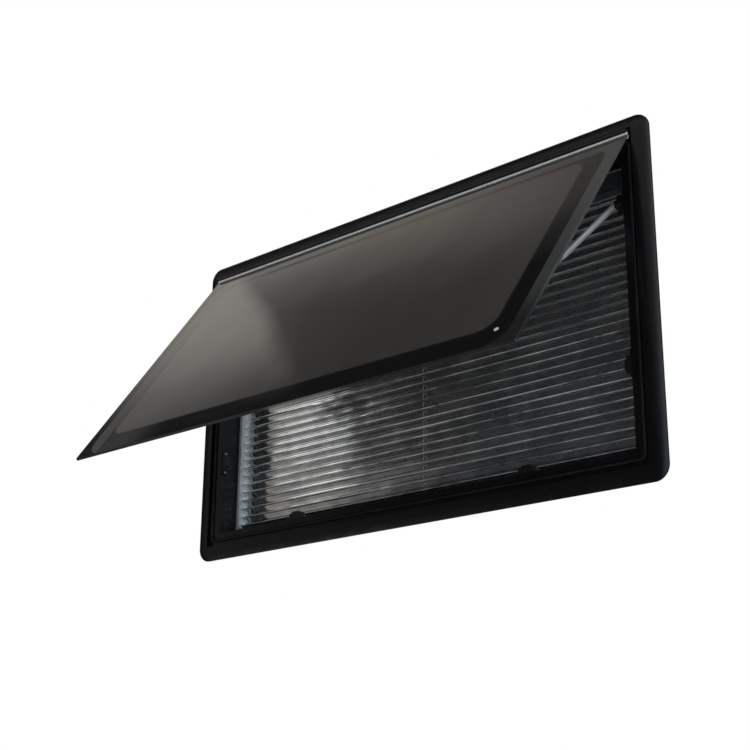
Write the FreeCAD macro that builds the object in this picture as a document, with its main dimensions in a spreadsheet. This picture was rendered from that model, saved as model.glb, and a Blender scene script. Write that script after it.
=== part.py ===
"""Top-hung caravan side window: black frame, double-glazed pane on telescopic stays, pleated blind.

Millimetres, +Z up, +X to the right seen from outside, -Y out of the wall. The origin is the centre of
the wall cut-out in the wall's outer plane. The pane group is drawn shut and then swung open about the
hinge axis, which is its rest pose.
"""
import FreeCAD, Part
import math
import os
import re
import Sketcher

SIZES = (
    ("cut_width", 900), ("cut_height", 500), ("overlap", 35), ("wall", 30),
    ("seal_thick", 1.5), ("flange_out", 12), ("face_side", 27), ("face_top", 21), ("face_foot", 24),
    ("corner", 24),
    ("bull_run", 23), ("bull_drop", 9.5), ("floor_out", 4.5), ("leg_inset", 1), ("leg_depth", 28),
    ("screw_inset", 4.8),
    ("clear_inset", 15), ("lip_foot", 237), ("rib_inset", 38), ("rib_rise", 0.9), ("lip_inset", 32),
    ("lip_wide", 4), ("lip_rise", 4.2),
    ("hinge_out", 16), ("hinge_up", 256), ("open_angle", 36), ("bead", 2), ("hook_bore", 2.06),
    ("hook_round", 4), ("pane_gap", 4), ("pane_foot", 255), ("pane_head", 252), ("sheet", 4),
    ("sheet_front", 13), ("seam_inset", 22), ("seam_band", 36), ("seam_foot", 53), ("tray_back", 5),
    ("tray_sheet", 2), ("plug_in", 24), ("plug_up", 38),
    ("stay_x", 413), ("stay_y", 6.3), ("stay_z", 152.6), ("stay_angle", 48.18), ("stay_length", 247.8),
    ("stay_pin_y", 10.3), ("stay_pin_z", -56.7), ("tube_round", 9.5), ("tube_bore", 7.5),
    ("tube_length", 194), ("rod_round", 7.38), ("rod_tail", 130), ("eye_round", 18.4), ("eye_bore", 15.4),
    ("catch_drop", 106), ("catch_x", 243), ("latch_back", 6), ("latch_inset", 30), ("tongue", 27),
    ("inner_out", 13), ("inner_flange", 3.5), ("inner_depth", 32),
    ("blind_y", 50), ("blind_thick", 14), ("blind_head", 193), ("blind_foot", -221), ("blind_half", 433.5),
    ("bar_tall", 12), ("sill_tall", 3.2), ("guide_wide", 6), ("guide_wall", 1.4), ("cord_far", 412),
    ("cord_round", 1.2),
)
AXIS_X = FreeCAD.Vector(1, 0, 0)
AXIS_Y = FreeCAD.Vector(0, 1, 0)
AXIS_Z = FreeCAD.Vector(0, 0, 1)
PARTS = []

doc = FreeCAD.newDocument("window")
sheet = doc.addObject("Spreadsheet::Sheet", "Sheet")
for row, (alias, value) in enumerate(SIZES, 1):
    sheet.set(f"A{row}", alias)
    sheet.set(f"B{row}", str(value))
    sheet.setAlias(f"B{row}", alias)
doc.recompute()
NAMES = {alias for alias, _ in SIZES}


def size(alias):
    """A driving dimension, read from the sheet."""
    return float(sheet.get(alias))


def bound(text):
    """An expression in the sheet's words, such as "cut_width / 2 + overlap"."""
    return re.sub(r"[a-z_]{3,}", lambda m: "Sheet." + m[0] if m[0] in NAMES else m[0], str(text))


def keep(item, label, placement=None):
    """Mark a finished object as the sub-part that its label names."""
    item.Label = label
    if placement is not None:
        item.Placement = placement
    PARTS.append(item)
    return item


def opened(local=None):
    """The place of a pane piece drawn shut: swung out about the hinge axis."""
    hinge = FreeCAD.Vector(0, -size("hinge_out"), size("hinge_up"))
    swing = FreeCAD.Placement(FreeCAD.Vector(), FreeCAD.Rotation(AXIS_X, -size("open_angle")), hinge)
    return swing.multiply(local) if local else swing


# ---- sketch and feature helpers -------------------------------------------------------------------

def new_body(name):
    return doc.addObject("PartDesign::Body", name)


def new_sketch(body, plane="XZ_Plane", offset="0"):
    """A sketch on one of the body's origin planes, moved along that plane's normal."""
    sketch = body.newObject("Sketcher::SketchObject", "Sketch")
    support = [f for f in body.Origin.OriginFeatures if f.Role == plane][0]
    sketch.AttachmentSupport = (support, [""])
    sketch.MapMode = "FlatFace"
    sketch.setExpression("AttachmentOffset.Base.z", bound(offset))
    return sketch


def tie(sketch, kind, items, text, start):
    index = sketch.addConstraint(Sketcher.Constraint(kind, *items, start))
    sketch.setExpression(f"Constraints[{index}]", bound(text))


def outline(sketch, points):
    """A closed outline of straight edges, each corner tied to the sheet."""
    first = sketch.GeometryCount
    count = len(points)
    ring = [FreeCAD.Vector(100 * math.cos(2 * math.pi * i / count), 100 * math.sin(2 * math.pi * i / count))
            for i in range(count)]
    for i in range(count):
        sketch.addGeometry(Part.LineSegment(ring[i], ring[(i + 1) % count]), False)
    for i in range(count):
        sketch.addConstraint(Sketcher.Constraint("Coincident", first + i, 2, first + (i + 1) % count, 1))
    for i, (across, along) in enumerate(points):
        tie(sketch, "DistanceX", (-1, 1, first + i, 1), across, ring[i].x)
        tie(sketch, "DistanceY", (-1, 1, first + i, 1), along, ring[i].y)


def box_outline(sketch, left, low, right, high):
    outline(sketch, ((left, low), (right, low), (right, high), (left, high)))


def circle(sketch, across, along, diameter):
    index = sketch.addGeometry(Part.Circle(FreeCAD.Vector(10, 10), AXIS_Z, 3), False)
    tie(sketch, "DistanceX", (-1, 1, index, 3), across, 10)
    tie(sketch, "DistanceY", (-1, 1, index, 3), along, 10)
    tie(sketch, "Diameter", (index,), diameter, 6)


def extrude(body, kind, sketch, length, back=False, middle=False, taper=None):
    """A Pad or a Pocket; a Pocket that removes nothing is an error."""
    before = body.Shape.Volume if body.Tip else 0
    feature = body.newObject("PartDesign::" + kind, kind)
    feature.Profile = sketch
    feature.setExpression("Length", bound(length))
    feature.Reversed = back
    feature.Midplane = middle
    if taper is not None:
        feature.TaperAngle = taper
    doc.recompute()
    sound(body, feature)
    if kind == "Pocket" and body.Shape.Volume > before - 1e-6:
        raise RuntimeError(body.Name + ": a pocket cut nothing")
    return feature


def sound(body, feature):
    """Stop at the first feature that fails, with its place in the body."""
    if "Up-to-date" not in feature.State:
        raise RuntimeError(f"{body.Name}: {feature.Name} failed: {feature.getStatusString()}")


def pad(body, sketch, length, **options):
    return extrude(body, "Pad", sketch, length, **options)


def pocket(body, sketch, length, **options):
    return extrude(body, "Pocket", sketch, length, **options)


def soften(body, radius, choose, kind="Fillet"):
    """Round or bevel the body's edges that the test picks."""
    names = [f"Edge{i}" for i, edge in enumerate(body.Shape.Edges, 1) if choose(edge)]
    if not names:
        raise RuntimeError(body.Name + ": no edge to round")
    base = body.Tip
    feature = body.newObject("PartDesign::" + kind, kind)
    feature.Base = (base, names)
    setattr(feature, "Radius" if kind == "Fillet" else "Size", radius)
    doc.recompute()
    sound(body, feature)
    return feature


def runs_along(edge, axis):
    """A straight edge parallel to the axis."""
    if edge.Curve.TypeId != "Part::GeomLine":
        return False
    return abs(edge.Curve.Direction.dot(axis)) > 0.999


def is_round(edge):
    return edge.Curve.TypeId != "Part::GeomLine"


def at(edge, x=None, y=None, z=None):
    """Every given coordinate (its absolute value for x) of the edge's middle matches."""
    point = edge.CenterOfMass
    tests = ((x, abs(point.x)), (y, point.y), (z, point.z))
    return all(want is None or abs(want - have) < 0.05 for want, have in tests)


def runs_slanted(edge, depth):
    """An edge that crosses this depth in Y, upright or leaning."""
    return abs(abs(edge.Vertexes[0].Y - edge.Vertexes[-1].Y) - depth) < 0.1


def flat_at(edge, y):
    """The whole edge lies in the plane at this y."""
    box = edge.BoundBox
    return abs(box.YMin - y) < 0.02 and abs(box.YMax - y) < 0.02


# ---- primitive helpers ----------------------------------------------------------------------------

def block(x, y, z, dx, dy, dz):
    """A Part box from its lowest corner and its three lengths, as expressions."""
    item = doc.addObject("Part::Box", "Block")
    for prop, text in (("Length", dx), ("Width", dy), ("Height", dz), ("Placement.Base.x", x),
                       ("Placement.Base.y", y), ("Placement.Base.z", z)):
        item.setExpression(prop, bound(text))
    return item


def rod(radius, length, x, y, z, axis=AXIS_Z):
    """A Part cylinder that starts at x, y, z and runs along the axis."""
    item = doc.addObject("Part::Cylinder", "Rod")
    item.Placement = FreeCAD.Placement(FreeCAD.Vector(), FreeCAD.Rotation(AXIS_Z, axis))
    for prop, text in (("Radius", radius), ("Height", length), ("Placement.Base.x", x),
                       ("Placement.Base.y", y), ("Placement.Base.z", z)):
        item.setExpression(prop, bound(text))
    return item


def fuse(items):
    item = doc.addObject("Part::MultiFuse", "Fusion")
    item.Shapes = items
    item.Refine = True
    return item


def cut(base, *tools):
    item = doc.addObject("Part::Cut", "Cut")
    item.Base = base
    item.Tool = tools[0] if len(tools) == 1 else fuse(list(tools))
    return item


def group(items):
    """Identical loose pieces kept together as one compound of solids."""
    item = doc.addObject("Part::Compound", "Group")
    item.Links = items
    return item


def round_part(base, radius, choose):
    """A Part fillet on the edges of a finished primitive that the test picks."""
    doc.recompute()
    item = doc.addObject("Part::Fillet", "Rounded")
    item.Base = base
    item.Edges = [(i, radius, radius) for i, edge in enumerate(base.Shape.Edges, 1) if choose(edge)]
    return item


def mirrored(source, label):
    """The left-hand twin of a right-hand piece."""
    item = doc.addObject("Part::Mirroring", "Mirror")
    item.Source = source
    item.Normal = AXIS_X
    item.Base = FreeCAD.Vector()
    return keep(item, label)


# ---- frame ----------------------------------------------------------------------------------------

HALF_W = "(cut_width / 2 + overlap)"
HALF_H = "(cut_height / 2 + overlap)"
PANE_X = "(cut_width / 2 + overlap - face_side - pane_gap)"
SEAM_X = "(cut_width / 2 + overlap - face_side - pane_gap - seam_inset)"
SEAM_LOW = "(seam_inset - 14 - pane_foot)"
SEAM_HIGH = "(hinge_up - 2 - seam_inset)"
CLEAR_X = "(cut_width / 2 - clear_inset)"
CLEAR_Z = "(cut_height / 2 - clear_inset)"
CORD_SPOTS = ("-cord_far", "0", "cord_far")


def side_spots():
    """Twelve places round the frame's leg, each on the line of the clamp screws."""
    across = size("cut_width") / 2 - size("screw_inset")
    along = size("cut_height") / 2 - size("screw_inset")
    spots = [(x, sign * along) for sign in (-1, 1) for x in (-345, -150, 150, 345)]
    spots += [(sign * across, z) for sign in (-1, 1) for z in (-50, 60)]
    return spots


def outer_frame():
    """Bullnosed flange outside the wall, pane recess, and a leg through the cut-out."""
    body = new_body("outer_frame")
    face = new_sketch(body, offset="seal_thick")
    box_outline(face, f"-{HALF_W}", f"-{HALF_H}", HALF_W, HALF_H)
    pad(body, face, "flange_out - seal_thick")
    soften(body, size("corner"), lambda e: runs_along(e, AXIS_Y))
    round_over(body)
    recess = new_sketch(body, offset="flange_out")
    box_outline(recess, f"face_side - {HALF_W}", f"face_foot - {HALF_H}", f"{HALF_W} - face_side",
                f"{HALF_H} - face_top")
    pocket(body, recess, "flange_out - floor_out")
    rib = new_sketch(body, offset="floor_out")
    box_outline(rib, f"rib_inset - {HALF_W}", f"rib_inset - {HALF_H}", f"{HALF_W} - rib_inset",
                f"{HALF_H} - rib_inset - 8")
    pad(body, rib, "rib_rise")
    rib_y = -size("floor_out") - size("rib_rise")
    soften(body, 14, lambda e: runs_along(e, AXIS_Y) and e.Length < 1)
    soften(body, 0.8, lambda e: flat_at(e, rib_y))
    leg = new_sketch(body, offset="-leg_depth")
    box_outline(leg, "leg_inset - cut_width / 2", "leg_inset - cut_height / 2", "cut_width / 2 - leg_inset",
                "cut_height / 2 - leg_inset")
    pad(body, leg, "leg_depth + seal_thick")
    window = new_sketch(body, offset="flange_out")
    box_outline(window, f"-{CLEAR_X}", "-lip_foot", CLEAR_X, CLEAR_Z)
    pocket(body, window, "flange_out + leg_depth")
    clear = size("cut_width") / 2 - size("clear_inset")
    soften(body, 9, lambda e: runs_along(e, AXIS_Y) and at(e, x=clear))
    pilots = new_sketch(body, offset="-leg_depth")
    for x, z in side_spots():
        circle(pilots, x, z, "4.1")
    pocket(body, pilots, "leg_depth - 10", back=True)
    keep(body, "outer_frame")


def round_over(body):
    """Cut the flange's outer edge back to a quarter ellipse all the way round."""
    run = size("bull_run")
    drop = size("bull_drop")
    foot = -size("cut_height") / 2 - size("overlap")
    front = -size("flange_out")
    path = new_sketch(body, offset="flange_out")
    half_w = size("cut_width") / 2 + size("overlap")
    turn = size("corner")
    corners = ((half_w - turn, foot + turn, -90), (half_w - turn, -foot - turn, 0),
               (turn - half_w, -foot - turn, 90), (turn - half_w, foot + turn, 180))
    ends = []
    for x, z, start in corners:
        a, b = math.radians(start), math.radians(start + 90)
        path.addGeometry(Part.ArcOfCircle(Part.Circle(FreeCAD.Vector(x, z), AXIS_Z, turn), a, b), False)
        ends.append((FreeCAD.Vector(x + turn * math.cos(a), z + turn * math.sin(a)),
                     FreeCAD.Vector(x + turn * math.cos(b), z + turn * math.sin(b))))
    for i in range(4):
        path.addGeometry(Part.LineSegment(ends[i][1], ends[(i + 1) % 4][0]), False)
    section = new_sketch(body, plane="YZ_Plane")
    centre = FreeCAD.Vector(front + drop, foot + run)
    long_way = Part.Ellipse(centre + FreeCAD.Vector(0, run), centre + FreeCAD.Vector(drop, 0), centre)
    start = centre + FreeCAD.Vector(0, -run)
    finish = centre + FreeCAD.Vector(-drop, 0)
    first, last = sorted((long_way.parameter(start), long_way.parameter(finish)))
    section.addGeometry(Part.ArcOfEllipse(long_way, first, last), False)
    section.addGeometry(Part.LineSegment(start, FreeCAD.Vector(start.x, foot - 1)), False)
    section.addGeometry(Part.LineSegment(FreeCAD.Vector(start.x, foot - 1),
                                         FreeCAD.Vector(front - 1, foot - 1)), False)
    section.addGeometry(Part.LineSegment(FreeCAD.Vector(front - 1, foot - 1),
                                         FreeCAD.Vector(front - 1, finish.y)), False)
    section.addGeometry(Part.LineSegment(FreeCAD.Vector(front - 1, finish.y), finish), False)
    before = body.Shape.Volume
    sweep = body.newObject("PartDesign::SubtractivePipe", "RoundOver")
    sweep.Profile = section
    sweep.Spine = (path, [f"Edge{i}" for i in range(1, 9)])
    doc.recompute()
    sound(body, sweep)
    if not body.Shape.isValid() or body.Shape.Volume > before - 1000:
        raise RuntimeError("the flange was not rounded over")


def ring(name, outer, inner, offset, length, turns, place=None):
    """A flat ring: outer and inner boxes (left, low, right, high) and their corner radii."""
    body = new_body(name)
    sketch = new_sketch(body, offset=offset)
    box_outline(sketch, *outer)
    box_outline(sketch, *inner)
    pad(body, sketch, length)
    reach = max(abs(v.X) for v in body.Shape.Vertexes)
    soften(body, turns[0], lambda e: runs_along(e, AXIS_Y) and at(e, x=reach))
    soften(body, turns[1], lambda e: runs_along(e, AXIS_Y) and abs(e.CenterOfMass.x) < reach - 0.5)
    return keep(body, name, place)


def frame_seals():
    """Sealing tape behind the flange, and the rubber lip that the shut pane rests on."""
    ring("wall_seal", (f"4 - {HALF_W}", f"4 - {HALF_H}", f"{HALF_W} - 4", f"{HALF_H} - 4"),
         ("-cut_width / 2 - 3", "-cut_height / 2 - 3", "cut_width / 2 + 3", "cut_height / 2 + 3"),
         "0", "seal_thick", (20, 6))
    outer = (f"lip_inset - {HALF_W}", f"lip_inset - {HALF_H}", f"{HALF_W} - lip_inset",
             f"{HALF_H} - lip_inset - 8")
    inner = [f"{text} {sign} lip_wide" for text, sign in zip(outer, "++--")]
    body = ring("pane_seal", outer, inner, "floor_out", "lip_rise", (12, 8))
    soften(body, 1.4, lambda e: flat_at(e, -size("floor_out") - size("lip_rise")))


def tilted_block(wide, deep, tall, angle, start):
    """A box the length of the hinge, turned about the hinge axis and begun at a point beside it."""
    item = doc.addObject("Part::Box", "Tilted")
    for prop, text in (("Length", wide), ("Width", deep), ("Height", tall)):
        item.setExpression(prop, bound(text))
    reach = size("cut_width") / 2 + size("overlap") - size("face_side") - size("pane_gap")
    turn = FreeCAD.Rotation(AXIS_X, angle)
    item.Placement = FreeCAD.Placement(FreeCAD.Vector(-reach, -size("hinge_out"), size("hinge_up")) +
                                       turn.multVec(start), turn)
    return item


def hinge_channel():
    """Aluminium strip in the recess with a round bead that the pane's rail hooks over."""
    wide = f"2 * {PANE_X}"
    left = f"-{PANE_X}"
    base = block(left, "-floor_out - 2", "hinge_up - 3.5", wide, "2", "10.5")
    bead = rod("bead", wide, left, "-hinge_out", "hinge_up", AXIS_X)
    web = tilted_block(wide, "9.6", "1.2", 30, FreeCAD.Vector(0, 1.4, -0.6))
    keep(fuse([base, bead, web]), "hinge_channel")


def catch_places():
    """Each catch's spot on the frame's inside edge, and its turn about Y."""
    half_w = size("cut_width") / 2 - size("clear_inset")
    foot = -size("lip_foot")
    spots = {"right": (half_w, -size("catch_drop"), 0), "left": (-half_w, -size("catch_drop"), 180),
             "bottom_right": (size("catch_x"), foot, 90), "bottom_left": (-size("catch_x"), foot, 90)}
    return {side: FreeCAD.Placement(FreeCAD.Vector(x, 0, z), FreeCAD.Rotation(AXIS_Y, turn))
            for side, (x, z, turn) in spots.items()}


def catch_body(name):
    """A stepped block, highest in the middle, with a low foot at each end for its screws."""
    body = new_body(name)
    plan = new_sketch(body, offset="-6")
    half = (("0", 21), ("-3", 21), ("-3", 13.5), ("-10", 13.5), ("-10", 9), ("-13", 7.5))
    low = [(across, str(-along)) for across, along in half]
    high = [(across, str(along)) for across, along in reversed(half)]
    outline(plan, low + high)
    pad(body, plan, "10")
    holes = new_sketch(body, plane="YZ_Plane", offset="1")
    for along in ("17.3", "-17.3"):
        circle(holes, "1", along, "3.2")
    pocket(body, holes, "8")
    soften(body, 0.8, lambda e: e.CenterOfMass.x < -7 and (runs_along(e, AXIS_Z) or
                                                           flat_at(e, 6) and e.CenterOfMass.x < -7.5))
    return body


def catch_screw(along):
    """A round-headed screw through one foot of a catch."""
    head = rod("2.6", "1.6", "-4.6", "1", str(along), AXIS_X)
    domed = round_part(head, 0.7, lambda e: is_round(e) and abs(e.CenterOfMass.x + 4.6) < 0.01)
    return fuse([domed, rod("1.5", "11", "-3.2", "1", str(along), AXIS_X)])


def catches():
    """Stepped catches on the inside of the frame, two below and one at each side, with their screws."""
    screws = []
    for side, place in catch_places().items():
        keep(catch_body("catch_" + side), "catch_" + side, place)
        for along in (17.3, -17.3):
            screw = catch_screw(along)
            screw.Placement = place
            screws.append(screw)
    keep(group(screws), "catch_screws")


def stay_frame_brackets():
    """Plates on the jambs that carry the stays' upper pivots, their pins and their screws."""
    plate = round_part(block(f"{CLEAR_X} - 3.5", "stay_y - 9.5", "stay_z - 19", "3.5", "20", "40"), 5,
                       lambda e: runs_along(e, AXIS_X))
    boss = rod("7.5", f"{CLEAR_X} - stay_x - 6.5", "stay_x + 3.5", "stay_y", "stay_z", AXIS_X)
    gusset = block("stay_x + 6", "stay_y - 3", "stay_z - 14", f"{CLEAR_X} - stay_x - 9", "6", "28")
    bore = rod("2.55", "30", "stay_x", "stay_y", "stay_z", AXIS_X)
    holes = [rod("1.8", "12", f"{CLEAR_X} - 8", "stay_y + 6", f"stay_z + {dz}", AXIS_X) for dz in (-13, 15)]
    right = keep(cut(fuse([plate, boss, gusset]), bore, *holes), "stay_bracket_right")
    mirrored(right, "stay_bracket_left")
    pins = []
    screws = []
    for side in (1, -1):
        turn = FreeCAD.Placement(FreeCAD.Vector(), FreeCAD.Rotation(AXIS_Z, 0 if side > 0 else 180))
        y = size("stay_y") * side
        head = round_part(rod("4", "2", "stay_x - 5.2", str(y), "stay_z", AXIS_X), 0.8,
                          lambda e: is_round(e) and e.CenterOfMass.x < size("stay_x") - 5)
        pin = fuse([head, rod("2.5", "24", "stay_x - 4", str(y), "stay_z", AXIS_X)])
        pin.Placement = turn
        pins.append(pin)
        for dz in (-13, 15):
            y_screw = (size("stay_y") + 6) * side
            top = rod("3", "1.8", f"{CLEAR_X} - 5.3", str(y_screw), f"stay_z + {dz}", AXIS_X)
            shank = rod("1.7", "13", f"{CLEAR_X} - 4", str(y_screw), f"stay_z + {dz}", AXIS_X)
            screw = fuse([top, shank])
            screw.Placement = turn
            screws.append(screw)
    keep(group(pins), "stay_bracket_pins")
    keep(group(screws), "stay_bracket_screws")


# ---- inner frame and blind ------------------------------------------------------------------------

def inner_frame():
    """Frame on the inside of the wall: a clamping flange and the deep rim that houses the blind."""
    body = new_body("inner_frame")
    gap_x = f"({CLEAR_X} + 3)"
    gap_z = f"({CLEAR_Z} + 3)"
    flange = new_sketch(body, offset="-wall")
    box_outline(flange, "-cut_width / 2 - inner_out", "-cut_height / 2 - inner_out",
                "cut_width / 2 + inner_out", "cut_height / 2 + inner_out")
    box_outline(flange, f"-{gap_x}", f"-{gap_z}", gap_x, gap_z)
    pad(body, flange, "inner_flange", back=True)
    reach = size("cut_width") / 2 + size("inner_out")
    soften(body, 16, lambda e: runs_along(e, AXIS_Y) and at(e, x=reach))
    rim = new_sketch(body, offset="-wall")
    box_outline(rim, f"-{gap_x} - 3.5", f"-{gap_z} - 3.5", f"{gap_x} + 3.5", f"{gap_z} + 3.5")
    box_outline(rim, f"-{gap_x}", f"-{gap_z}", gap_x, gap_z)
    pad(body, rim, "inner_depth", back=True)
    soften(body, 3, lambda e: runs_along(e, AXIS_Y) and e.Length > 20 and abs(e.CenterOfMass.x) > reach - 23)
    soften(body, 1.2, lambda e: flat_at(e, size("wall") + size("inner_depth")))
    holes = new_sketch(body, offset="-wall")
    for x, z in side_spots():
        circle(holes, x, z, "4.4")
    pocket(body, holes, "inner_flange")
    keep(body, "inner_frame")


def clamp_screws():
    """Pan-head screws through the inner frame's flange into the outer frame's leg."""
    screws = []
    for x, z in side_spots():
        seat = "wall + inner_flange"
        head = round_part(rod("3.2", "2.2", str(x), seat, str(z), AXIS_Y), 0.9,
                          lambda e: is_round(e) and e.CenterOfMass.y > size("wall") + 5)
        shank = rod("1.95", f"{seat} - 13", str(x), "14", str(z), AXIS_Y)
        screws.append(fuse([head, shank]))
    keep(group(screws), "clamp_screws")


def beside(points):
    """Points of a section given from the blind's middle plane and from the sheet's foot or head."""
    return tuple((f"blind_y + ({across})", along) for across, along in points)


def blind_fixed():
    """Head rail, side guides, sill and the stretched guide cords of the pleated blind."""
    rail = new_body("blind_head_rail")
    profile = new_sketch(rail, plane="YZ_Plane")
    head = "blind_head"
    outline(profile, beside(((-10, f"{head} + 1"), (10, f"{head} + 1"), (10, f"{head} + 44"),
                             (-7, f"{head} + 44"), (-11, f"{head} + 40"), (-11, f"{head} + 4"))))
    outline(profile, beside(((-8, f"{head} + 3.5"), (8, f"{head} + 3.5"), (8, f"{head} + 38"),
                             (-8, f"{head} + 38"))))
    pad(rail, profile, f"2 * {CLEAR_X} + 5", middle=True)
    soften(rail, 1.5, lambda e: runs_along(e, AXIS_X) and e.CenterOfMass.y < size("blind_y") - 9)
    keep(rail, "blind_head_rail")
    guide = new_body("blind_guide_right")
    plan = new_sketch(guide, plane="XY_Plane", offset=f"sill_tall - {CLEAR_Z} - 2.7")
    edge = f"{CLEAR_X} + 2.9"
    near = "blind_y - 11"
    far = "blind_y + 11"
    outline(plan, ((f"{edge} - guide_wide", near), (edge, near), (edge, far), (f"{edge} - guide_wide", far),
                   (f"{edge} - guide_wide", f"{far} - guide_wall"), (f"{edge} - 1.5", f"{far} - guide_wall"),
                   (f"{edge} - 1.5", f"{near} + guide_wall"),
                   (f"{edge} - guide_wide", f"{near} + guide_wall")))
    pad(guide, plan, f"{CLEAR_Z} + blind_head + 2.7 - sill_tall")
    keep(guide, "blind_guide_right")
    mirrored(guide, "blind_guide_left")
    low = f"-{CLEAR_Z} - 2.9"
    top = size("sill_tall") - 2.9 - size("cut_height") / 2 + size("clear_inset")
    sill = round_part(block(f"-{CLEAR_X} - 2.9", near, low, f"2 * {CLEAR_X} + 5.8", "22", "sill_tall"), 1.2,
                      lambda e: runs_along(e, AXIS_X) and e.CenterOfMass.z > top - 0.1)
    keep(sill, "blind_sill")
    cords = [rod("cord_round / 2", f"{CLEAR_Z} + blind_head + 3", x, "blind_y", f"-{CLEAR_Z} - 1.5")
             for x in CORD_SPOTS]
    keep(group(cords), "blind_guide_cords")


def blind_moving():
    """The pleated sheet's envelope, the bar at its foot and the grip on the bar."""
    pleats = block("-blind_half", "blind_y - blind_thick / 2", "blind_foot", "2 * blind_half", "blind_thick",
                   "blind_head - blind_foot")
    bores = [rod("cord_round", "blind_head - blind_foot + 10", x, "blind_y", "blind_foot - 5")
             for x in CORD_SPOTS]
    keep(cut(pleats, *bores), "pleated_blind")
    bar = new_body("blind_bar")
    profile = new_sketch(bar, plane="YZ_Plane")
    foot = "blind_foot"
    outline(profile, beside(((-9, f"{foot} - bar_tall + 2.5"), (-6, f"{foot} - bar_tall"),
                             (6, f"{foot} - bar_tall"), (9, f"{foot} - bar_tall + 2.5"),
                             (9, f"{foot} - 0.4"), (-9, f"{foot} - 0.4"))))
    pad(bar, profile, "2 * blind_half", middle=True)
    soften(bar, 1.2, lambda e: runs_along(e, AXIS_X) and e.CenterOfMass.z > size("blind_foot") - 2)
    holes = new_sketch(bar, plane="XY_Plane", offset="blind_foot")
    for x in CORD_SPOTS:
        circle(holes, x, "blind_y", "2 * cord_round")
    pocket(bar, holes, "bar_tall + 5")
    keep(bar, "blind_bar")
    grip = new_body("blind_grip")
    shape = new_sketch(grip, plane="YZ_Plane")
    outline(shape, beside(((9, f"{foot} - 8"), (11, f"{foot} - 9.5"), (19, f"{foot} - 9.5"),
                           (20.5, f"{foot} - 7.5"), (19, f"{foot} - 6"), (12, f"{foot} - 6"),
                           (9, f"{foot} - 2.5"))))
    pad(grip, shape, "90", middle=True)
    soften(grip, 0.7, lambda e: runs_along(e, AXIS_X) and e.CenterOfMass.y > size("blind_y") + 15)
    keep(grip, "blind_grip")


# ---- pane -----------------------------------------------------------------------------------------

def glazing():
    """Flat outer sheet, black seam, and the formed inner sheet that makes the double glazing."""
    outer = new_body("outer_sheet")
    face = new_sketch(outer, offset="sheet_front - sheet")
    box_outline(face, f"-{PANE_X}", "-pane_foot", PANE_X, "pane_head")
    pad(outer, face, "sheet")
    soften(outer, 3, lambda e: runs_along(e, AXIS_Y) and e.CenterOfMass.z < 0)
    soften(outer, 0.7, lambda e: flat_at(e, -size("sheet_front")))
    plug_hole = new_sketch(outer, offset="sheet_front")
    circle(plug_hole, f"{SEAM_X} - plug_in", "plug_up - pane_foot", "7.6")
    pocket(outer, plug_hole, "sheet")
    keep(outer, "outer_sheet", opened())

    seam_outer = (f"-{SEAM_X}", SEAM_LOW, SEAM_X, SEAM_HIGH)
    seam_inner = (f"seam_band - {SEAM_X}", f"{SEAM_LOW} + seam_foot", f"{SEAM_X} - seam_band",
                  f"{SEAM_HIGH} - seam_band")
    ring("glazing_seam", seam_outer, seam_inner, "sheet_front - sheet - 1", "1", (38, 28), opened())

    tray = new_body("inner_sheet")
    flange = new_sketch(tray, offset="sheet_front - sheet - 3")
    box_outline(flange, *seam_outer)
    pad(tray, flange, "2")
    soften(tray, 38, lambda e: runs_along(e, AXIS_Y))
    lean = math.degrees(math.atan(3 / (size("tray_back") + 8)))
    dome = new_sketch(tray, offset="sheet_front - sheet - 1")
    box_outline(dome, *seam_inner)
    pad(tray, dome, "tray_back + 8", back=True, taper=-lean)
    hollow = new_sketch(tray, offset="sheet_front - sheet - 1")
    box_outline(hollow, *[f"{text} {sign} tray_sheet" for text, sign in zip(seam_inner, "++--")])
    pocket(tray, hollow, "tray_back + 8 - tray_sheet", taper=-lean)
    soften(tray, 24, lambda e: runs_slanted(e, size("tray_back") + 6))
    soften(tray, 4, lambda e: flat_at(e, size("tray_back")))
    soften(tray, 2.5, lambda e: flat_at(e, size("tray_back") - size("tray_sheet")))
    keep(tray, "inner_sheet", opened())

    plug = rod("3.75", "4.8", f"{SEAM_X} - plug_in", "-sheet_front - 0.9", "plug_up - pane_foot", AXIS_Y)
    dome = round_part(plug, 0.8, lambda e: is_round(e) and e.CenterOfMass.y < -size("sheet_front") - 0.5)
    keep(dome, "vent_plug", opened())


def hinge_rail():
    """Anodised rail along the pane's top edge: a hook over the bead, and a channel for the sheet."""
    wide = f"2 * {PANE_X}"
    left = f"-{PANE_X}"
    tube = rod("hook_round", wide, left, "-hinge_out", "hinge_up", AXIS_X)
    legs = [block(left, "-sheet_front - 1.2", "pane_head - 1.5", wide, "1.2", "3"),
            block(left, "sheet - sheet_front", "pane_head - 6", wide, "1.5", "7.5"),
            block(left, "-sheet_front - 1.2", "pane_head", wide, "sheet + 2.7", "1.5")]
    bore = rod("hook_bore", wide, left, "-hinge_out", "hinge_up", AXIS_X)
    mouth = tilted_block(wide, "12", "12", 4, FreeCAD.Vector())
    keep(cut(fuse([tube] + legs), bore, mouth), "hinge_rail", opened())


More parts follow.
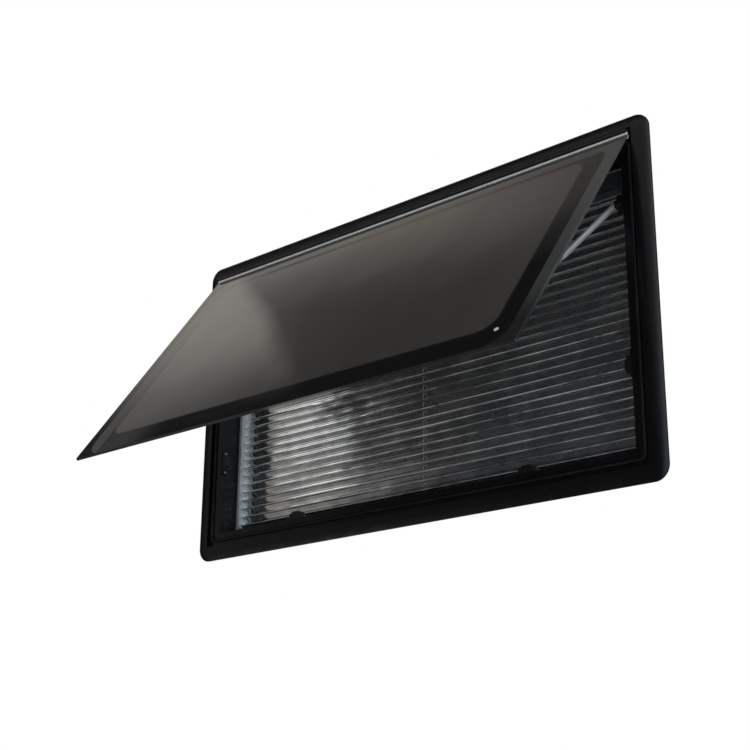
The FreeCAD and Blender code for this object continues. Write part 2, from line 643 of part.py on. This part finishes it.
def pane_brackets():
    """Forks on the pane that hold the stays' lower pins."""
    z = "stay_pin_z"
    low = f"{z} - 22"
    cheeks = [block("stay_x - 4.4", "-latch_back", low, "1.7", "24", "33"),
              block("stay_x + 2.7", "-latch_back", low, "1.7", "24", "33")]
    feet = [block("stay_x - 7.5", "-latch_back", low, "24.5", "1.5", "6"),
            block("stay_x + 3", "-latch_back", low, "14", "1.5", "33")]
    bridge = block("stay_x - 4", "-latch_back", low, "8", "14", "5")
    bore = rod("2", "14", "stay_x - 7", "stay_pin_y", z, AXIS_X)
    top = 24 - size("latch_back")
    solid = round_part(fuse(cheeks + feet + [bridge]), 7,
                       lambda e: runs_along(e, AXIS_X) and e.CenterOfMass.y > top - 0.1)
    right = keep(cut(solid, bore), "pane_fork_right", opened())
    mirrored(right, "pane_fork_left")
    pins = []
    for sign in (1, -1):
        start = f"{sign} * stay_x - 5.6"
        pin = fuse([rod("1.98", "11.2", start, "stay_pin_y", z, AXIS_X),
                    rod("3.2", "1.1", start, "stay_pin_y", z, AXIS_X),
                    rod("3.2", "1.1", f"{sign} * stay_x + 4.5", "stay_pin_y", z, AXIS_X)])
        pins.append(pin)
    keep(group(pins), "pane_fork_pins", opened())


def latch_places():
    """Where the right-hand latches stand on the shut pane: each one's outward side faces its catch."""
    side = size("cut_width") / 2 - size("clear_inset") - size("latch_inset")
    foot = -size("cut_height") / 2 + size("clear_inset") + size("latch_inset")
    back = -size("latch_back")
    return {"right": ((side, back, -size("catch_drop")), 0),
            "bottom_right": ((size("catch_x"), back, foot), 90)}


def latch_base():
    """Block on the seam with the post that the lever turns on."""
    body = new_body("latch_base")
    plan = new_sketch(body)
    box_outline(plan, "-6", "-15", "6.5", "15")
    pad(body, plan, "12", back=True)
    soften(body, 3, lambda e: runs_along(e, AXIS_Y))
    soften(body, 0.8, lambda e: flat_at(e, 12))
    post = new_sketch(body)
    circle(post, "0", "0", "6")
    pad(body, post, "17", back=True)
    return body


def latch_lever():
    """Hub, tongue that passes behind the catch, and handle with a pocket for the button."""
    body = new_body("latch_lever")
    hub = new_sketch(body, offset="-12.4")
    circle(hub, "0", "0", "12.4")
    pad(body, hub, "6", back=True)
    tongue = new_sketch(body, offset="-12.8")
    outline(tongue, (("-5", "0"), ("5", "0"), ("4", "2 - tongue"), ("2", "-tongue"), ("-2", "-tongue"),
                     ("-4", "2 - tongue")))
    pad(body, tongue, "3.6", back=True)
    handle = new_sketch(body, offset="-13.2")
    outline(handle, (("0", "6"), ("-14", "7.5"), ("-40", "7"), ("-43", "4"), ("-43", "-4"), ("-40", "-7"),
                     ("-14", "-7.5"), ("0", "-6")))
    pad(body, handle, "5.2", back=True)
    soften(body, 1.2, lambda e: flat_at(e, 18.4) and e.Length > 5)
    bore = new_sketch(body)
    circle(bore, "0", "0", "6.12")
    pocket(body, bore, "30")
    well = new_sketch(body, offset="-18.4")
    box_outline(well, "-34", "-3.5", "-18", "3.5")
    pocket(body, well, "3.9", back=True)
    return body


def latch_button():
    """Push button in the lever's handle."""
    body = new_body("latch_button")
    plan = new_sketch(body, offset="-16.4")
    box_outline(plan, "-33.6", "-3.1", "-18.4", "3.1")
    pad(body, plan, "3.3", back=True)
    soften(body, 0.9, lambda e: flat_at(e, 19.7))
    return body


def latches():
    """Four latches, each a base, a lever and a button of its own; the left ones are mirror images."""
    for side, (spot, turn) in latch_places().items():
        place = opened(FreeCAD.Placement(FreeCAD.Vector(*spot), FreeCAD.Rotation(AXIS_Y, turn)))
        for make, word in ((latch_base, "base"), (latch_lever, "lever"), (latch_button, "button")):
            right = keep(make(), f"latch_{word}_{side}", place)
            mirrored(right, f"latch_{word}_{side}".replace("right", "left"))


# ---- stays ----------------------------------------------------------------------------------------

def stay(side, sign):
    """Telescopic stay drawn hanging from its upper pivot, then swung to the open pane."""
    swing = FreeCAD.Placement(FreeCAD.Vector(sign * size("stay_x"), size("stay_y"), size("stay_z")),
                              FreeCAD.Rotation(AXIS_X, -size("stay_angle")))
    barrel = rod("tube_round / 2", "tube_length - 11", "0", "0", "-tube_length")
    neck = block("-2.8", "-4", "-13", "5.6", "8", "13")
    eye = rod("6.3", "5.6", "-2.8", "0", "0", AXIS_X)
    hole = rod("2.56", "8", "-4", "0", "0", AXIS_X)
    bore = rod("tube_bore / 2", "tube_length - 60", "0", "0", "-tube_length - 0.001")
    keep(cut(fuse([barrel, neck, eye]), hole, bore), f"stay_tube_{side}", swing)
    slider = rod("rod_round / 2", "stay_length - 18 - rod_tail", "0", "0", "18 - stay_length")
    plate = rod("eye_round / 2", "3.2", "-1.6", "0", "-stay_length", AXIS_X)
    tang = block("-1.6", "-3.2", "8 - stay_length", "3.2", "6.4", "14")
    window = rod("eye_bore / 2", "6", "-3", "0", "-stay_length", AXIS_X)
    keep(cut(fuse([slider, plate, tang]), window), f"stay_rod_{side}", swing)


def check_and_write():
    """Stop on any failed object, then write one file per sub-part."""
    doc.recompute()
    bad = [o.Label for o in doc.Objects if "Invalid" in o.State or "Error" in o.State]
    if bad:
        raise RuntimeError("failed objects: " + ", ".join(bad))
    os.makedirs("parts", exist_ok=True)
    for item in PARTS:
        shape = item.Shape
        if shape.isNull() or not shape.isValid() or not shape.Solids:
            raise RuntimeError("bad shape: " + item.Label)
        shape.exportStep(f"parts/{item.Label}.step")
        print(item.Label, len(shape.Solids), "solids", round(shape.Volume / 1000, 2), "cm3")


outer_frame()
frame_seals()
hinge_channel()
catches()
stay_frame_brackets()
inner_frame()
clamp_screws()
blind_fixed()
blind_moving()
glazing()
hinge_rail()
pane_brackets()
latches()
stay("right", 1)
stay("left", -1)
check_and_write()
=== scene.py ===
"""Looks of the caravan window: pane, frame and pleated blind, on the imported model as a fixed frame."""
import math

import bpy
from mathutils import Matrix, Vector, noise


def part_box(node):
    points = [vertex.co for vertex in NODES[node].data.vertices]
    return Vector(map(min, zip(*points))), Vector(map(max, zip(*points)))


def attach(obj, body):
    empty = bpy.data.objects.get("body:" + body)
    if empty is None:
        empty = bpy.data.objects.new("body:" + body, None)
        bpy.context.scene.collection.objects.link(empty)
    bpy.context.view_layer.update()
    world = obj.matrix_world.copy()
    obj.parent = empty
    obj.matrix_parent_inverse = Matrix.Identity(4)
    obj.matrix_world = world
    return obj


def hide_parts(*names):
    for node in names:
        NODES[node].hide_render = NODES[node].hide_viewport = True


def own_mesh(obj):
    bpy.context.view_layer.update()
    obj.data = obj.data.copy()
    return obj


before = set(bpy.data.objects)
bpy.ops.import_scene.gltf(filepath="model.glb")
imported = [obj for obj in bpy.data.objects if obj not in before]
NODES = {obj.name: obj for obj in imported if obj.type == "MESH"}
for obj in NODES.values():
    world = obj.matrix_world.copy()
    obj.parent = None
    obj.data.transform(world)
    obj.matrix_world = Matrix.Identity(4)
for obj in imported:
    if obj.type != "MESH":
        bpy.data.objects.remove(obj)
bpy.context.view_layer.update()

# Metres and radians. The pane is open at rest, turned by OPEN_ANGLE about the hinge line.
HINGE = Vector((0, -0.016, 0.256))
OPEN_ANGLE = math.radians(36)
LIP_HIGHLIGHT_Y = (-0.0156, -0.0152)        # a silver strip painted along the hinge rail's edge as a painted highlight, with the pane shut
HEAD_HIGHLIGHT_Z = 0.2285              # a painted highlight: the pale line painted along the blind's head rail
HEAD_HIGHLIGHT_HALF = (0.0008, 0.0004)  # its half width, from where it starts to where it is full

# The black printed band lies between two rounded rectangles: centre, half size and corner radius.
BAND_OUTER = ((0, -0.010), (0.432, 0.243), 0.038)
BAND_INNER = ((0, -0.0005), (0.399, 0.2105), 0.030)
BAND_HEAD_Z = (0.224, 0.214)      # the band ends here, below the head of the pane

BLIND_Y = 0.050
PLEATS = 27
PLEAT_DEPTH = 0.0085
COLUMNS = 180
SIDE_GAP = 0.0008                 # between the sheet's side edges and its CAD solid
SLACK_DEPTH = 0.0007
SLACK_HEIGHT = 0.0011
CREASE_DEPTH = 0.00016
HELD_EDGE = 0.02                  # the slack dies out over this height at the head and the foot

FLOOR_Z = -1.5
FLOOR_HALF = 12
SENSOR_MM = 36
LENS_MM = 66.68
CAMERA_PLACE = (1.4200, -1.6540, -0.7554)
CAMERA_TURN_RISE_ROLL = (41.905, 18.426, 0.491)   # degrees

AMBIENT = (0.032, 0.032, 0.034)
ROOM_LIGHT = (0.60, 0.60, 0.62)
OVERHEAD_LIGHT = (0.70, 0.655, 0.59)
STRIP_LIGHT = (1.42, 1.50, 1.47)
RIGHT_LIGHT = (1.20, 1.38, 1.58)
FRONT_LIGHT = (0.72, 0.66, 0.60)
BLACK_TINT = (1.25, 1.22, 1.2)


# ---- node helpers -----------------------------------------------------------------------------------

class Shader:
    """A material or world under construction: short calls for the nodes it needs."""

    def __init__(self, tree):
        self.tree = tree
        self.nodes = tree.nodes
        self.nodes.clear()

    def add(self, kind, **values):
        node = self.nodes.new(kind)
        for key, value in values.items():
            setattr(node, key, value)
        return node

    def link(self, source, target):
        self.tree.links.new(source, target)

    def feed(self, socket, value):
        """Link a socket or set a plain value."""
        if isinstance(value, bpy.types.NodeSocket):
            self.link(value, socket)
        else:
            socket.default_value = value

    def math(self, operation, a, b=0.0):
        node = self.add("ShaderNodeMath", operation=operation)
        self.feed(node.inputs[0], a)
        self.feed(node.inputs[1], b)
        return node.outputs[0]

    def parts(self, vector):
        node = self.add("ShaderNodeSeparateXYZ")
        self.feed(node.inputs[0], vector)
        return node.outputs

    def step(self, value, low, high, bottom=0.0, top=1.0):
        """A smooth rise from bottom to top between two values; low may be above high."""
        node = self.add("ShaderNodeMapRange", interpolation_type="SMOOTHSTEP")
        if low > high:
            low, high, bottom, top = high, low, top, bottom
        for i, v in enumerate((value, low, high, bottom, top)):
            self.feed(node.inputs[i], v)
        return node.outputs[0]

    def place(self):
        """The point on the object, in metres, in the object's own frame."""
        return self.add("ShaderNodeTexCoord").outputs["Object"]

    def stretched(self, scale):
        """The same point, scaled on each axis, so that a pattern runs along one of them."""
        node = self.add("ShaderNodeVectorMath", operation="MULTIPLY")
        self.link(self.place(), node.inputs[0])
        node.inputs[1].default_value = scale
        return node.outputs[0]

    def noise(self, scale, detail=3.0, rough=0.5, vector=None):
        node = self.add("ShaderNodeTexNoise")
        self.feed(node.inputs["Vector"], vector or self.place())
        node.inputs["Scale"].default_value = scale
        node.inputs["Detail"].default_value = detail
        node.inputs["Roughness"].default_value = rough
        return node.outputs["Fac"]

    def mix(self, factor, a, b):
        node = self.add("ShaderNodeMix", data_type="RGBA")
        self.feed(node.inputs[0], factor)
        for socket, value in ((node.inputs[6], a), (node.inputs[7], b)):
            self.feed(socket, value if isinstance(value, bpy.types.NodeSocket) else (*value, 1.0))
        return node.outputs[2]

    def bump(self, height, strength, distance, normal=None):
        node = self.add("ShaderNodeBump")
        node.inputs["Strength"].default_value = strength
        node.inputs["Distance"].default_value = distance
        self.link(height, node.inputs["Height"])
        if normal:
            self.link(normal, node.inputs["Normal"])
        return node.outputs[0]

    def surface(self, color, rough, normal=None, **fixed):
        """The Principled shader and the output."""
        node = self.add("ShaderNodeBsdfPrincipled")
        self.link(color, node.inputs["Base Color"])
        self.feed(node.inputs["Roughness"], rough)
        if normal:
            self.link(normal, node.inputs["Normal"])
        for key, value in fixed.items():
            socket = key.replace("_", " ").title().replace("Ior", "IOR")
            node.inputs[socket].default_value = value
        out = self.add("ShaderNodeOutputMaterial")
        self.link(node.outputs[0], out.inputs[0])
        return node


def new_material(name):
    material = bpy.data.materials.new(name)
    material.use_nodes = True
    return material, Shader(material.node_tree)


def dress(material, *names):
    """Give CAD nodes a material."""
    for name in names:
        mesh = NODES[name].data
        mesh.materials.clear()
        mesh.materials.append(material)


# ---- materials --------------------------------------------------------------------------------------

def moulded(name, color, rough=0.42, grain=900, depth=0.12, shine=0.42):
    """Black moulded plastic: fine leathery grain, faint flow marks, handling sheen and a little dust."""
    material, s = new_material(name)
    cloud = s.noise(9, 4)
    fine = s.noise(grain, 2)
    flow = s.noise(30, 3, vector=s.stretched((1, 3, 0.25)))
    light = tuple(c * t for c, t in zip(color, BLACK_TINT))
    tone = s.mix(s.step(cloud, 0.35, 0.7), color, light)
    dust = s.step(s.noise(140, 5, 0.7), 0.66, 0.86, 0, 0.35)
    tone = s.mix(dust, tone, tuple(c * 1.8 + 0.003 for c in color))
    gloss = s.math("ADD", s.step(flow, 0.3, 0.7, rough - 0.06, rough + 0.06),
                   s.step(fine, 0.3, 0.7, -0.03, 0.05))
    s.surface(tone, gloss, s.bump(fine, depth, 0.0002), specular_ior_level=shine)
    return material


def metal(name, color, rough=0.28, run=(1, 40, 40), scratch=0.25, metallic=1.0):
    """Anodised or plated metal with fine lines along one direction and small nicks."""
    material, s = new_material(name)
    lines = s.noise(60, 6, 0.65, vector=s.stretched(run))
    cloud = s.noise(14, 3)
    tone = s.mix(s.step(lines, 0.3, 0.75), tuple(c * 0.86 for c in color), color)
    gloss = s.math("ADD", s.step(lines, 0.3, 0.7, rough - 0.06, rough + 0.08),
                   s.step(cloud, 0.3, 0.7, -0.04, 0.05))
    s.surface(tone, gloss, s.bump(lines, scratch, 0.0002), metallic=metallic)
    return material


def hinge_metal():
    """Black anodised rail with a painted highlight: a silver strip painted on its lip where it meets the
    sheet.
    """
    material, s = new_material("hinge_metal")
    _, y, _ = s.parts(shut_place(s))
    lines = s.noise(60, 6, 0.65, vector=s.stretched((1, 40, 40)))
    # painted highlight: the silver strip along the rail's lip
    bright = s.step(y, *LIP_HIGHLIGHT_Y)
    silver = s.mix(s.step(lines, 0.3, 0.75), (0.84, 0.84, 0.82), (0.97, 0.97, 0.95))
    black = s.mix(s.step(lines, 0.3, 0.75), (0.010, 0.010, 0.011), (0.018, 0.018, 0.019))
    tone = s.mix(bright, black, silver)
    node = s.surface(tone, s.step(lines, 0.3, 0.7, 0.22, 0.34), s.bump(lines, 0.2, 0.0002))
    s.link(s.math("MULTIPLY", bright, 0.2), node.inputs["Metallic"])
    return material


def head_rail_black():
    """Satin black extrusion with a painted highlight: one pale line painted along it, under its top edge.
    """
    material, s = new_material("head_rail")
    _, _, z = s.parts(s.place())
    lines = s.noise(60, 6, 0.6, vector=s.stretched((1, 40, 40)))
    # painted highlight: one pale line along the rail under its top edge
    line = s.step(s.math("ABSOLUTE", s.math("SUBTRACT", z, HEAD_HIGHLIGHT_Z)), *HEAD_HIGHLIGHT_HALF)
    tone = s.mix(s.step(lines, 0.3, 0.75), (0.040, 0.042, 0.046), (0.060, 0.062, 0.066))
    tone = s.mix(line, tone, (0.62, 0.60, 0.57))
    s.surface(tone, s.step(lines, 0.3, 0.7, 0.26, 0.38), s.bump(lines, 0.15, 0.0002))
    return material


def rubber(name, color=(0.010, 0.010, 0.0105)):
    """Matt black rubber with fine pores and a pale bloom in places."""
    material, s = new_material(name)
    pores = s.noise(1400, 2)
    bloom = s.step(s.noise(25, 4), 0.4, 0.75)
    tone = s.mix(bloom, color, tuple(c * 1.9 for c in color))
    s.surface(tone, s.step(pores, 0.3, 0.7, 0.5, 0.68), s.bump(pores, 0.2, 0.0002), specular_ior_level=0.3)
    return material


def shut_place(s):
    """A point of the open pane, turned back to where it is when the pane is shut."""
    node = s.add("ShaderNodeVectorRotate", rotation_type="X_AXIS")
    s.feed(node.inputs["Vector"], s.place())
    node.inputs["Center"].default_value = HINGE
    node.inputs["Angle"].default_value = OPEN_ANGLE
    return node.outputs[0]


def rounded_distance(s, x, z, centre, half, turn):
    """Signed distance in metres to a rounded rectangle in the pane's plane."""
    across = s.math("SUBTRACT", s.math("ABSOLUTE", s.math("SUBTRACT", x, centre[0])), half[0] - turn)
    along = s.math("SUBTRACT", s.math("ABSOLUTE", s.math("SUBTRACT", z, centre[1])), half[1] - turn)
    outside = s.math("SQRT", s.math("ADD", s.math("POWER", s.math("MAXIMUM", across, 0.0), 2.0),
                                    s.math("POWER", s.math("MAXIMUM", along, 0.0), 2.0)))
    inside = s.math("MINIMUM", s.math("MAXIMUM", across, along), 0.0)
    return s.math("SUBTRACT", s.math("ADD", outside, inside), turn)


def smoked_acrylic():
    """Polished smoked sheet, paler towards one side as a painted reflection, with a black printed band
    along its sides and foot that fades at one upper corner and along one side under painted reflection,
    and a clear edge outside the band, painted darker towards the foot as painted light and shade."""
    material, s = new_material("smoked_acrylic")
    x, _, z = s.parts(shut_place(s))
    outer = rounded_distance(s, x, z, *BAND_OUTER)
    inner = rounded_distance(s, x, z, *BAND_INNER)
    band = s.math("MULTIPLY", s.step(outer, 0.0008, -0.0008), s.step(inner, -0.004, 0.003))
    band = s.math("MULTIPLY", band, s.step(z, *BAND_HEAD_Z))
    # painted reflection: the print is faded at one upper corner and along the -x side
    painted_reflection_on_band = s.math("MULTIPLY", s.step(z, -0.05, 0.15, 0.45, 1.0), s.step(x, -0.22, -0.36, 0.0, 0.8))
    painted_reflection_on_band = s.math("MAXIMUM", painted_reflection_on_band, s.step(x, -0.396, -0.404, 0.0, 0.72))
    band = s.math("MULTIPLY", band, s.math("SUBTRACT", 1.0, painted_reflection_on_band))
    haze = s.noise(3.2, 3)
    smoke = s.mix(s.step(haze, 0.35, 0.7), (0.064, 0.057, 0.050), (0.080, 0.071, 0.062))
    # painted reflection: the sheet is painted paler towards -x
    smoke = s.mix(s.step(x, 0.10, -0.42), smoke, (0.190, 0.180, 0.166))
    # painted light and shade: the clear edge is painted darker towards the foot
    edge = s.mix(s.step(z, -0.22, -0.10), (0.020, 0.020, 0.020), (0.072, 0.072, 0.070))
    smoke = s.mix(s.step(outer, -0.0005, 0.0008), smoke, edge)
    tone = s.mix(band, smoke, (0.0035, 0.0035, 0.004))
    wipe = s.noise(5, 5, 0.6, vector=s.stretched((1.0, 3.0, 3.0)))
    normal = s.bump(s.noise(4.5, 2), 0.30, 0.0014)
    fine = s.bump(s.noise(600, 3), 0.02, 0.0001, normal)
    s.surface(tone, s.step(wipe, 0.35, 0.75, 0.03, 0.09), fine, ior=1.49)
    return material


def clear_smoke(name):
    """The formed inner sheet, seen from the room side."""
    material, s = new_material(name)
    haze = s.noise(3, 4)
    tone = s.mix(s.step(haze, 0.3, 0.7), (0.022, 0.021, 0.020), (0.040, 0.038, 0.035))
    wipe = s.noise(7, 5, 0.6)
    s.surface(tone, s.step(wipe, 0.35, 0.75, 0.06, 0.16), s.bump(s.noise(6, 2), 0.3, 0.0016), ior=1.49)
    return material


def foil():
    """Aluminised pleated fabric: bright and nearly mirror-like, with creases and dimples; painted darker
    along the creases as painted shade, and the front folds painted paler and duller along their edges,
    partly wear and partly a painted highlight."""
    material, s = new_material("blind_foil")
    crease = s.noise(150, 4, 0.6, vector=s.stretched((0.8, 1.0, 0.5)))
    wide = s.noise(24, 3, 0.55)
    pits = s.noise(1500, 2)
    _, y, _ = s.parts(s.place())
    fold = s.step(s.math("SUBTRACT", BLIND_Y, y), 0.44 * PLEAT_DEPTH, 0.49 * PLEAT_DEPTH)
    uneven = s.math("ADD", s.step(s.noise(60, 4, 0.6), 0.40, 0.60, 0.0, 0.45),
                    s.step(wide, 0.36, 0.62, 0.1, 0.55))
    # wear and painted highlight: the front folds are painted paler and less metallic along their edges
    wear_and_highlight = s.math("MULTIPLY", fold, uneven)
    tone = s.mix(s.step(wide, 0.3, 0.7), (0.70, 0.715, 0.73), (0.88, 0.89, 0.89))
    # painted shade: darker along the creases
    tone = s.mix(s.step(crease, 0.62, 0.75), tone, (0.42, 0.43, 0.45))
    tone = s.mix(wear_and_highlight, tone, (0.90, 0.895, 0.88))
    gloss = s.math("ADD", s.step(pits, 0.3, 0.7, 0.045, 0.075), s.step(crease, 0.45, 0.8, 0.0, 0.08))
    gloss = s.math("ADD", gloss, s.math("MULTIPLY", fold, 0.25))
    normal = s.bump(wide, 0.10, 0.0006)
    normal = s.bump(crease, 0.14, 0.00016, normal)
    node = s.surface(tone, gloss, normal)
    s.link(s.math("SUBTRACT", 0.96, s.math("MULTIPLY", wear_and_highlight, 0.62)), node.inputs["Metallic"])
    return material


def white_plug():
    """The small white plug of the pane's vent hole."""
    material, s = new_material("plug")
    tone = s.mix(s.noise(400, 3), (0.72, 0.72, 0.70), (0.88, 0.88, 0.86))
    s.surface(tone, s.step(s.noise(900, 2), 0.3, 0.7, 0.2, 0.35), coat_weight=0.3)
    return material


def braid():
    """Thin braided cord."""
    material, s = new_material("cord")
    wave = s.add("ShaderNodeTexWave", wave_type="BANDS", bands_direction="Z")
    s.link(s.place(), wave.inputs["Vector"])
    wave.inputs["Scale"].default_value = 320
    tone = s.mix(wave.outputs["Fac"], (0.16, 0.16, 0.165), (0.42, 0.42, 0.43))
    s.surface(tone, s.step(wave.outputs["Fac"], 0, 1, 0.5, 0.75), s.bump(wave.outputs["Fac"], 0.5, 0.0002))
    return material


SIDES = ("right", "left", "bottom_right", "bottom_left")
frame_black = moulded("frame_black", (0.0046, 0.0048, 0.0056), 0.28, shine=0.30)
inner_black = moulded("inner_black", (0.009, 0.0092, 0.0100), 0.5, 1100, 0.18, shine=0.25)
part_black = moulded("part_black", (0.008, 0.008, 0.0085), 0.38, 1300, 0.1)
rail_black = moulded("rail_black", (0.014, 0.014, 0.015), 0.44, 1000, 0.12)
button_grey = moulded("button_grey", (0.055, 0.056, 0.058), 0.45, 1300, 0.12)
guide_alu = metal("guide_aluminium", (0.93, 0.94, 0.95), 0.26, (40, 40, 1), 0.25, 0.35)
stay_alu = metal("stay_aluminium", (0.74, 0.735, 0.72), 0.30, (8, 8, 8), 0.12, 0.62)
steel = metal("screw_steel", (0.42, 0.42, 0.42), 0.3, (6, 6, 6), 0.2)
dress(frame_black, "outer_frame")
dress(inner_black, "inner_frame")
dress(rubber("lip_rubber"), "pane_seal")
dress(rubber("tape_rubber", (0.02, 0.02, 0.02)), "wall_seal", "glazing_seam")
dress(rail_black, "hinge_channel")
dress(hinge_metal(), "hinge_rail")
dress(part_black, "stay_bracket_right", "stay_bracket_left", "pane_fork_right", "pane_fork_left")
for side in SIDES:
    dress(part_black, "catch_" + side, "latch_base_" + side, "latch_lever_" + side)
    dress(button_grey, "latch_button_" + side)
dress(steel, "catch_screws", "stay_bracket_pins", "stay_bracket_screws", "clamp_screws", "pane_fork_pins")
dress(rail_black, "blind_sill", "blind_bar", "blind_grip")
dress(head_rail_black(), "blind_head_rail")
dress(guide_alu, "blind_guide_right", "blind_guide_left")
dress(braid(), "blind_guide_cords")
dress(smoked_acrylic(), "outer_sheet")
dress(clear_smoke("inner_sheet"), "inner_sheet")
dress(white_plug(), "vent_plug")
dress(stay_alu, "stay_tube_right", "stay_tube_left", "stay_rod_right", "stay_rod_left")


# ---- pleated blind ----------------------------------------------------------------------------------

# Half a pleat's rounded fold as (share of the pitch, share of the depth), and the two folds of a pleat.
BEND = ((-0.11, 0.36), (-0.06, 0.455), (-0.025, 0.495), (0.025, 0.495), (0.06, 0.455), (0.11, 0.36))
FOLD = [(0.11 + share, depth) for share, depth in BEND] + [(0.61 + share, -depth) for share, depth in BEND]


def pleat_line():
    """The section of the sheet from head to foot: (depth, height) pairs, with slightly rounded folds."""
    low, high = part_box("pleated_blind")
    middle = (low.y + high.y) / 2
    pitch = (high.z - low.z) / PLEATS
    points = []
    for i in range(PLEATS):
        top = high.z - i * pitch
        for share, depth in FOLD:
            points.append((middle + depth * PLEAT_DEPTH, top - share * pitch))
    points.append((middle + FOLD[0][1] * PLEAT_DEPTH, low.z))
    return points, low, high


def make_blind():
    """One pleated sheet with uneven folds, a little slack and fine creases."""
    points, low, high = pleat_line()
    rows = len(points)
    left = low.x + SIDE_GAP
    wide = high.x - low.x - 2 * SIDE_GAP
    verts = []
    for r, (y, z) in enumerate(points):
        for c in range(COLUMNS + 1):
            x = left + wide * c / COLUMNS
            slow = noise.noise(Vector((x * 7, z * 30, 2.5)))
            wavy = noise.noise(Vector((x * 34, z * 90, 9.1)))
            hold = min(1.0, (high.z - z) / HELD_EDGE, (z - low.z) / HELD_EDGE)
            depth = SLACK_DEPTH * slow * hold + CREASE_DEPTH * wavy
            verts.append((x, y + depth, z + SLACK_HEIGHT * slow * hold))
    faces = []
    for r in range(rows - 1):
        for c in range(COLUMNS):
            here = r * (COLUMNS + 1) + c
            below = here + COLUMNS + 1
            faces.append((here, below, below + 1, here + 1))
    mesh = bpy.data.meshes.new("pleated_sheet")
    mesh.from_pydata(verts, [], faces)
    mesh.update()
    for polygon in mesh.polygons:
        polygon.use_smooth = True
    sheet = bpy.data.objects.new("pleated_sheet", mesh)
    bpy.context.scene.collection.objects.link(sheet)
    mesh.materials.append(foil())
    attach(sheet, "blind")
    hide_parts("pleated_blind")
    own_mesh(sheet)


make_blind()


# ---- stage ------------------------------------------------------------------------------------------

def make_floor():
    """A plain pale floor, well below the window, that shows in no reflection."""
    mesh = bpy.data.meshes.new("floor")
    corners = [(x * FLOOR_HALF, y * FLOOR_HALF, FLOOR_Z) for x, y in ((-1, -1), (1, -1), (1, 1), (-1, 1))]
    mesh.from_pydata(corners, [], [(0, 1, 2, 3)])
    floor = bpy.data.objects.new("floor", mesh)
    bpy.context.scene.collection.objects.link(floor)
    material, s = new_material("floor")
    node = s.surface(s.mix(s.noise(0.8, 2), (0.80, 0.80, 0.80), (0.84, 0.84, 0.83)), 0.7)
    node.inputs["Emission Color"].default_value = (1, 1, 1, 1)
    node.inputs["Emission Strength"].default_value = 0.45
    mesh.materials.append(material)
    floor.visible_glossy = False


def make_world():
    """A white studio backdrop for the camera, and soft boxes for all other rays: overhead at the left,
    a strip low at the left, one at the right, one in front and one behind."""
    world = bpy.data.worlds.new("studio")
    bpy.context.scene.world = world
    world.use_nodes = True
    s = Shader(world.node_tree)
    way = s.add("ShaderNodeTexCoord").outputs["Generated"]
    x, y, z = s.parts(way)
    wobble = s.math("MULTIPLY", s.math("SUBTRACT", s.noise(9, 2, vector=way), 0.5), 0.02)
    left = s.math("ADD", x, wobble)
    above = s.math("MULTIPLY", s.step(z, 0.35, 0.55), s.step(y, 0.42, 0.28))
    box = s.math("MULTIPLY", s.step(left, -0.674, -0.690), s.step(y, 0.075, 0.145))
    ridge = s.math("MULTIPLY", s.step(y, 0.135, 0.20), s.step(x, -0.46, -0.62, 0.26, 0.85))
    overhead = s.math("MULTIPLY", s.math("MAXIMUM", box, ridge), above)
    strip = s.math("MULTIPLY", s.step(x, -0.698, -0.691), s.step(x, -0.652, -0.664))
    edge = s.math("MULTIPLY", s.step(x, -0.706, -0.713), s.step(x, -0.80, -0.75))
    strip = s.math("ADD", strip, s.math("MULTIPLY", edge, 0.12))
    strip = s.math("MULTIPLY", strip, s.step(z, -0.2, -0.45))
    right = s.math("MULTIPLY", s.step(x, 0.05, 0.95), s.step(y, 0.62, 0.15))
    high = s.math("MAXIMUM", s.step(z, 0.28, 0.48), s.step(x, -0.58, -0.76, 0.0, 0.55))
    front = s.math("MULTIPLY", s.step(y, -0.35, -0.65), high)
    back = s.math("MULTIPLY", s.step(y, 0.45, 0.85), s.step(x, 0.5, 0.1))
    light = s.mix(s.math("MULTIPLY", back, 0.6), AMBIENT, ROOM_LIGHT)
    light = s.mix(overhead, light, OVERHEAD_LIGHT)
    light = s.mix(strip, light, STRIP_LIGHT)
    light = s.mix(right, light, RIGHT_LIGHT)
    light = s.mix(s.math("MULTIPLY", front, 0.85), light, FRONT_LIGHT)
    studio = s.add("ShaderNodeBackground")
    s.link(light, studio.inputs["Color"])
    white = s.add("ShaderNodeBackground")
    white.inputs["Color"].default_value = (1, 1, 1, 1)
    pick = s.add("ShaderNodeMixShader")
    s.link(s.add("ShaderNodeLightPath").outputs["Is Camera Ray"], pick.inputs[0])
    s.link(studio.outputs[0], pick.inputs[1])
    s.link(white.outputs[0], pick.inputs[2])
    s.link(pick.outputs[0], s.add("ShaderNodeOutputWorld").inputs["Surface"])


def make_camera():
    """The photograph's viewing place: below the window and to its right."""
    data = bpy.data.cameras.new("camera")
    data.sensor_width = SENSOR_MM
    data.lens = LENS_MM
    camera = bpy.data.objects.new("camera", data)
    bpy.context.scene.collection.objects.link(camera)
    turn, rise, roll = (math.radians(angle) for angle in CAMERA_TURN_RISE_ROLL)
    level = math.cos(rise)
    forward = Vector((-math.sin(turn) * level, math.cos(turn) * level, math.sin(rise)))
    right = forward.cross(Vector((0, 0, 1))).normalized()
    up = right.cross(forward)
    rolled_right = math.cos(roll) * right + math.sin(roll) * up
    rolled_up = math.cos(roll) * up - math.sin(roll) * right
    basis = Matrix((rolled_right, rolled_up, -forward)).transposed()
    camera.matrix_world = Matrix.Translation(CAMERA_PLACE) @ basis.to_4x4()
    bpy.context.scene.camera = camera


make_floor()
make_world()
make_camera()
bpy.context.scene.view_settings.view_transform = "Standard"
